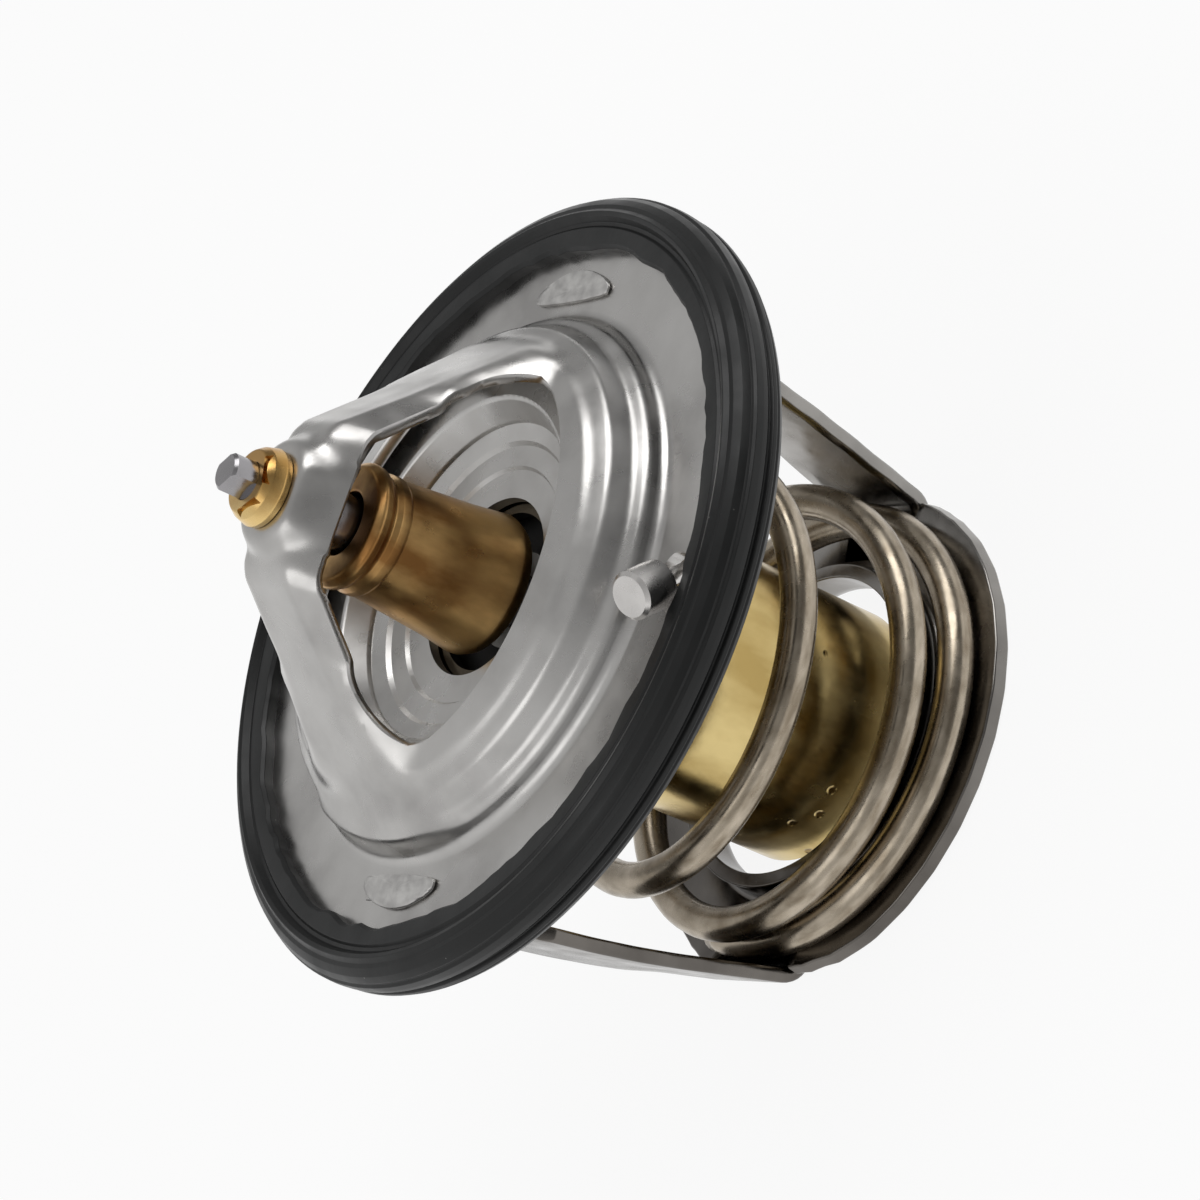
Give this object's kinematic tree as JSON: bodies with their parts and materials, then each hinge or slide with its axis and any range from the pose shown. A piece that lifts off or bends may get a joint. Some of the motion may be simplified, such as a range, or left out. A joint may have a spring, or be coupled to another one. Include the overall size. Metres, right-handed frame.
{
  "type": "engine thermostat",
  "caption": "Wax-element engine thermostat: domed flange with bridge, moulded rubber gasket, coil spring valve and lower frame.",
  "frame": {"origin": "centre of the base's underside, on the valve axis", "axes": "+Z along the valve axis towards the bridge; the lower frame's legs lie on +Y and -Y; the vent pin is on +X"},
  "size_m": [0.056, 0.056, 0.0517],
  "materials": {
    "stamped_steel": "satin, tumbled",
    "gasket_rubber": "satin",
    "frame_steel": "polished",
    "spring_steel": "smooth drawn wire",
    "piston_steel": "ground",
    "bush_brass": "turned",
    "case_brass": "drawn, slightly pitted",
    "guide_bronze": "burnished",
    "washer_plastic": "matte",
    "sleeve_rubber": "matte",
    "wax": "waxy",
    "pin_steel": "satin"
  },
  "bodies": {
    "frame": {"seat_bridge": "stamped_steel", "gasket": "gasket_rubber", "lower_frame": "frame_steel", "main_spring": "spring_steel", "piston": "piston_steel", "piston_bush": "bush_brass"},
    "element": {"valve_disc": "stamped_steel", "valve_hub": "stamped_steel", "element_cup": "case_brass", "element_guide": "guide_bronze", "chafing_washer": "washer_plastic", "rubber_sleeve": "sleeve_rubber", "wax_charge": "wax"},
    "jiggle": {"vent_pin": "pin_steel", "vent_cap": "pin_steel"}
  },
  "joints": [
    {"name": "valve", "type": "slide", "parent": "frame", "child": "element", "axis": [0, 0, -1], "range_m": [0, 0.0085], "stiffness_N_per_m": 5500, "springref_m": -0.011, "deforming": ["main_spring"]},
    {"name": "vent_rock", "type": "hinge", "parent": "frame", "child": "jiggle", "pos_m": [0.0218, 0, 0.03035], "axis": [-0.9659, -0.2588, 0], "range_deg": [0, 80]}
  ]
}
